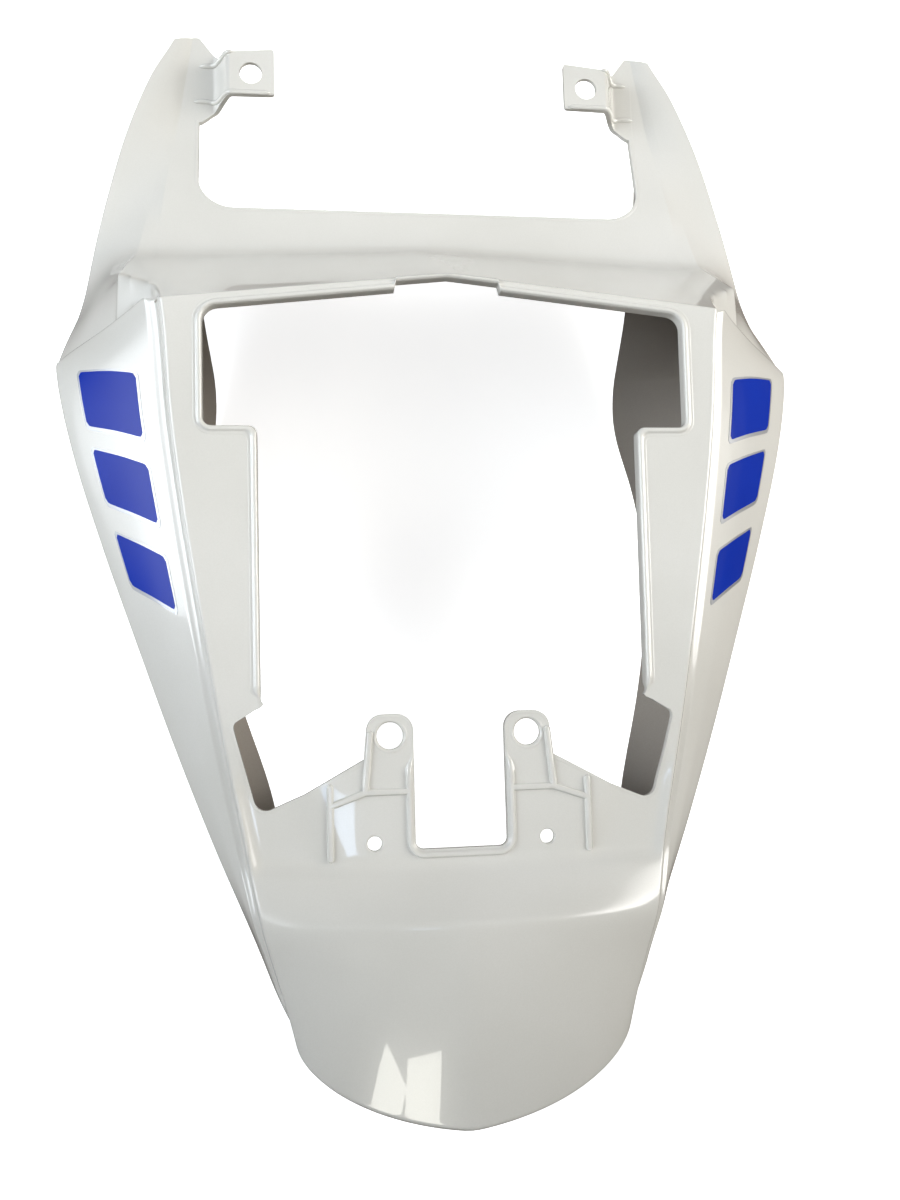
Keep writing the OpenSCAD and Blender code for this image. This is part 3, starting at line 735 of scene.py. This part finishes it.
pieces.append(sweep("gap_rim", gap_outline, GAPS, gap_profile, False, PAINT, 60))

# Tabs at the arm ends
def tab_height(x, y):
    """Top of the tab: level plate, riser, then a thin overlap on the arm."""
    root = TAB_PITCH / 2 + TAB_W / 2
    arm = on_top(max(x, GAP_HALF + 0.6), y) + 0.25 - 0.2 * smooth((x - root - 10) / 8)
    f = smooth((x - root + 1.5) / 11)
    z = -TAB_DROP + (arm + TAB_DROP) * f
    return z - 1.2 * smooth((x - root - 20) / 4)


def tab_mesh(sx):
    """One tab as a thin closed sheet with rounded outer corners."""
    inner, root = TAB_PITCH / 2 - TAB_W / 2, TAB_PITCH / 2 + TAB_W / 2
    rear = [(inner, -13), (root, -13.5), (root + 6, -14), (root + 11, -18), (root + 16, -22),
            (root + 24, -23)]
    front = [(inner, 15), (root, 12.5), (root + 4, 13.5), (root + 17, ARM_REACH - TAB_FRONT - 0.2),
             (root + 24, ARM_REACH - TAB_FRONT - 1.5)]
    xs = np.concatenate([[inner + v for v in (0, 0.15, 0.5, 1.0, 1.8, 3)],
                         np.arange(inner + 5, root - 4, 2.5), np.arange(root - 3, root + 24.5, 0.75)])
    rows = []
    for x in xs:
        y0 = np.interp(x, [p[0] for p in rear], [p[1] for p in rear])
        y1 = np.interp(x, [p[0] for p in front], [p[1] for p in front])
        d = x - inner
        if d < 1.5:
            pull = 1.5 - math.sqrt(max(0.0, 2.25 - (1.5 - d) ** 2))
            y0, y1 = y0 + pull, y1 - pull
        row = []
        for v in (0, 0.01, 0.03, 0.07, 0.15, 0.25, 0.35, 0.45, 0.55, 0.65, 0.75, 0.85, 0.92, 0.97, 0.99, 1):
            y = TAB_FRONT + y0 + (y1 - y0) * v
            row.append((sx * x, y, tab_height(x, y)))
        rows.append(row)
    T = np.array(rows)
    if sx > 0:
        T = T[:, ::-1]
    NT = grid_normals(T)
    if NT[:, :, 2].mean() < 0:
        T = T[:, ::-1]
        NT = grid_normals(T)
    return shell_mesh(T, NT, 2.6, 2)


# Beads that stiffen each tab: they start on the arm, climb the riser and run along the tab's edges
BEAD_R = 1.4
TAB_BEADS = [
    [(131, 395.9), (127, 396.2), (123, 396.3), (119.5, 396), (116, 395.6), (113, 395.3), (110, 395.6)],
    [(134.5, 373.9), (130, 374.1), (126, 374.0), (122, 373.0), (118, 371.7), (113, 371), (104, 371),
     (94, 371), (88.5, 371)],
]


def bead(name, sx, path, r):
    """A half-sunk round bead along a path on the tab."""
    pts = []
    for a, b in zip(path, path[1:]):
        k = max(1, int(math.dist(a, b) / 1.0))
        pts += [(a[0] + (b[0] - a[0]) * j / k, a[1] + (b[1] - a[1]) * j / k) for j in range(k)]
    pts.append(path[-1])
    C = np.array([(sx * x, y, tab_height(x, y) + 0.3) for x, y in pts])
    for _ in range(3):
        C[1:-1] = 0.25 * C[:-2] + 0.5 * C[1:-1] + 0.25 * C[2:]
    D = np.gradient(C, axis=0)
    D /= np.linalg.norm(D, axis=1, keepdims=True)
    ends = [0.05, 0.5, 0.8, 0.95]
    size = np.array(ends + [1.0] * (len(C) - 8) + ends[::-1]) * r
    V, F, m = [], [], 14
    for c, d, q in zip(C, D, size):
        side = np.cross(d, (0, 0, 1.0))
        side /= np.linalg.norm(side)
        over = np.cross(side, d)
        for j in range(m):
            a = 2 * math.pi * j / m
            V.append(tuple(c + q * (math.cos(a) * side + math.sin(a) * over)))
    for i in range(len(C) - 1):
        for j in range(m):
            k = (j + 1) % m
            F.append((i * m + j, i * m + k, (i + 1) * m + k, (i + 1) * m + j))
    F += [tuple(range(m))[::-1], tuple(range((len(C) - 1) * m, len(C) * m))]
    o = make(name, V, F, PAINT, 60)
    face_outwards(o)
    return o


for sx, tag in ((-1, "left"), (1, "right")):
    tab = make("tab_" + tag, *tab_mesh(sx), PAINT, 40)
    cut(tab, *prism(arc(sx * TAB_PITCH / 2, TAB_FRONT, TAB_R, 0, 352.5, 47), -140, 0))
    smooth_shade(tab, 40)
    pieces.append(tab)
    for k, path in enumerate(TAB_BEADS):
        pieces.append(bead("tab_bead_%s_%d" % (tag, k), sx, path, BEAD_R))

for p in pieces:
    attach(p, "root")
    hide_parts("rear_panel")

# Films on the flanks
ROW_W = [(105, 0), (117, 0.04), (129, 0.08), (141, 0.15), (153, 0.25), (165, 0.37), (177, 0.5), (188, 0.65),
         (199, 0.8), (208, 0.9), (FRONT_Y, 1)]


def flank_point(n, r):
    """Point of the flank's own skin, so that the films lie on it."""
    w = float(np.interp(r, [q[0] for q in ROW_W], [q[1] for q in ROW_W]))
    return np.array(surface(1, r, w, 0, 1 + n))


def bar(front, length, slant, n0, n1, inset):
    """Grid of one slanted bar, with rounded corners, inset on all sides."""
    rows = []
    ns = np.linspace(n0, n1, 25)
    for v in np.concatenate([[0, 0.02, 0.05], np.linspace(0.1, 0.9, 9), [0.95, 0.98, 1]]):
        row = []
        for n in ns:
            q = (n - n0) / (n1 - n0)
            edge = min(q, 1 - q) * 34
            r0 = 2.5
            pull = r0 - math.sqrt(max(0.0, r0 ** 2 - (r0 - edge) ** 2)) if edge < r0 else 0.0
            ln = length - 2 * inset - 2 * pull
            row.append(flank_point(n, front - inset - pull - ln * (1 - v) - slant * (1 - q)))
        rows.append(row)
    B = np.array(rows)
    NB = grid_normals(B)
    return B, (NB if NB[..., 2].mean() > 0 else -NB)


def film(name, sx, B, NB, low, high, mat, tag):
    """Thin closed sheet over the flank, between two heights above it."""
    top = B + NB * high
    nr, nc = top.shape[:2]
    V = np.concatenate([top.reshape(-1, 3), (B + NB * low).reshape(-1, 3)])
    V[:, 0] *= sx
    F = closed_quads(nr, nc)
    if sx < 0:
        F = [q[::-1] for q in F]
    ob = make(name, V, F, mat, 40)
    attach(ob, "root")
    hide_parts("graphic_" + tag)
    return ob


BAR_COUNT, BAR_BACK, BAR_PITCH, BAR_LEN, BAR_SHRINK = 3, 17, 46, 36, 3
for sx, tag in ((-1, "left"), (1, "right")):
    for n in range(BAR_COUNT):
        front, length = FRONT_Y - BAR_BACK - BAR_PITCH * n, BAR_LEN - BAR_SHRINK * n
        B, NB = bar(front, length, slant=16, n0=2.35, n1=3.9, inset=0.0)
        film("bar_edge_%s_%d" % (tag, n), sx, B, NB, 0.03, 0.2, SILVER, tag)
        B, NB = bar(front, length, slant=15, n0=2.41, n1=3.84, inset=1.7)
        film("bar_%s_%d" % (tag, n), sx, B, NB, 0.15, 0.32, BLUE, tag)

# Stage, light and camera
def stage_plane():
    """White floor that glows a little for the camera alone, and takes the shadow."""
    me = bpy.data.meshes.new("floor")
    s, z = 6.0, -0.1415
    me.from_pydata([(-s, -s, z), (s, -s, z), (s, s, z), (-s, s, z)], [], [(0, 1, 2, 3)])
    o = bpy.data.objects.new("floor", me)
    bpy.context.scene.collection.objects.link(o)
    m, nt, b = principled("floor")
    lp = node(nt, "ShaderNodeLightPath")
    em = node(nt, "ShaderNodeEmission", Color=(1, 1, 1, 1), Strength=0.72)
    dim = node(nt, "ShaderNodeBsdfDiffuse", Color=(0.22, 0.19, 0.165, 1))
    add = node(nt, "ShaderNodeAddShader")
    mixs = node(nt, "ShaderNodeMixShader")
    b.inputs["Base Color"].default_value = (0.9, 0.9, 0.9, 1)
    b.inputs["Roughness"].default_value = 0.8
    out = nt.nodes["Material Output"]
    nt.links.new(b.outputs[0], add.inputs[0])
    nt.links.new(em.outputs[0], add.inputs[1])
    nt.links.new(lp.outputs["Is Camera Ray"], mixs.inputs[0])
    nt.links.new(dim.outputs[0], mixs.inputs[1])
    nt.links.new(add.outputs[0], mixs.inputs[2])
    nt.links.new(mixs.outputs[0], out.inputs["Surface"])
    me.materials.append(m)
    return o


stage_plane()

world = bpy.data.worlds.new("studio")
bpy.context.scene.world = world
world.use_nodes = True
wt = world.node_tree
wco = node(wt, "ShaderNodeTexCoord")
wsep = node(wt, "ShaderNodeSeparateXYZ")
wt.links.new(wco.outputs["Generated"], wsep.inputs[0])
wmap = node(wt, "ShaderNodeMapRange")
wmap.inputs["From Min"].default_value = -0.5
wmap.inputs["From Max"].default_value = 0.5
wt.links.new(wsep.outputs["X"], wmap.inputs["Value"])
wramp = ramp(wt, [(0.0, (0.84, 0.90, 1.0)), (0.45, (0.93, 0.95, 1.0)), (1.0, (1.0, 0.93, 0.82))])
wt.links.new(wmap.outputs["Result"], wramp.inputs["Fac"])
wt.links.new(wramp.outputs["Color"], wt.nodes["Background"].inputs["Color"])
wt.nodes["Background"].inputs["Strength"].default_value = 0.23
wpath = node(wt, "ShaderNodeLightPath")
wseen = node(wt, "ShaderNodeBackground", Color=(0.93, 0.93, 0.93, 1), Strength=1.0)
wmix = node(wt, "ShaderNodeMixShader")
wt.links.new(wpath.outputs["Is Camera Ray"], wmix.inputs[0])
wt.links.new(wt.nodes["Background"].outputs[0], wmix.inputs[1])
wt.links.new(wseen.outputs[0], wmix.inputs[2])
wt.links.new(wmix.outputs[0], wt.nodes["World Output"].inputs["Surface"])


def area(name, loc, target, size, power, color):
    light = bpy.data.lights.new(name, "AREA")
    light.shape = "RECTANGLE"
    light.size, light.size_y = size
    light.energy = power
    light.color = color
    o = bpy.data.objects.new(name, light)
    bpy.context.scene.collection.objects.link(o)
    o.location = loc
    o.rotation_euler = (Vector(target) - Vector(loc)).to_track_quat("-Z", "Y").to_euler()
    return o


def turn(o, degrees):
    """Turns a lamp about the way it points."""
    spin = Matrix.Rotation(math.radians(degrees), 3, "Z")
    o.rotation_euler = (o.rotation_euler.to_matrix() @ spin).to_euler()


for name, sx, power, tint in (("key", 1, 2.9, (1.0, 0.985, 0.955)), ("fill", -1, 2.65, (0.9, 0.95, 1.0))):
    lamp = area(name, (0.85 * sx, 0.38, 0.5), (0, 0.28, 0), (0.8, 1.1), power, tint)
    lamp.data.spread = math.radians(60)
for name, x, aim_x, degrees in (("back_left", -0.36, -0.04, -12), ("back_right", -0.13, -0.03, 12)):
    lamp = area(name, (x, -0.87, 0.97), (aim_x, -0.165, 0.012), (0.17, 0.26), 1.0, (1.0, 0.99, 0.9))
    turn(lamp, degrees)
area("sky", (-0.10, -0.18, 1.2), (-0.08, -0.04, 0), (0.13, 0.12), 0.35, (0.6, 0.76, 1.0))

# The camera that the photo was taken with, fitted to the panel's two halves
FOCAL_PX, PHOTO_H, SENSOR_MM = 1100.0, 1200.0, 24.0
cam = bpy.data.cameras.new("camera")
cam_ob = bpy.data.objects.new("camera", cam)
bpy.context.scene.collection.objects.link(cam_ob)
right = Vector((0.99073, -0.02835, 0.13282)).normalized()
up = Vector((0.01581, 0.99539, 0.09450))
up = (up - right * up.dot(right)).normalized()
back = right.cross(up)
cam_ob.matrix_world = Matrix((
    (right.x, up.x, back.x, -0.0763), (right.y, up.y, back.y, 0.0160),
    (right.z, up.z, back.z, 0.5386), (0, 0, 0, 1)))
cam.sensor_fit = "VERTICAL"
cam.sensor_height = SENSOR_MM
cam.lens = SENSOR_MM * FOCAL_PX / PHOTO_H
cam.clip_start = 0.01
bpy.context.scene.camera = cam_ob
bpy.context.scene.view_settings.view_transform = "Standard"
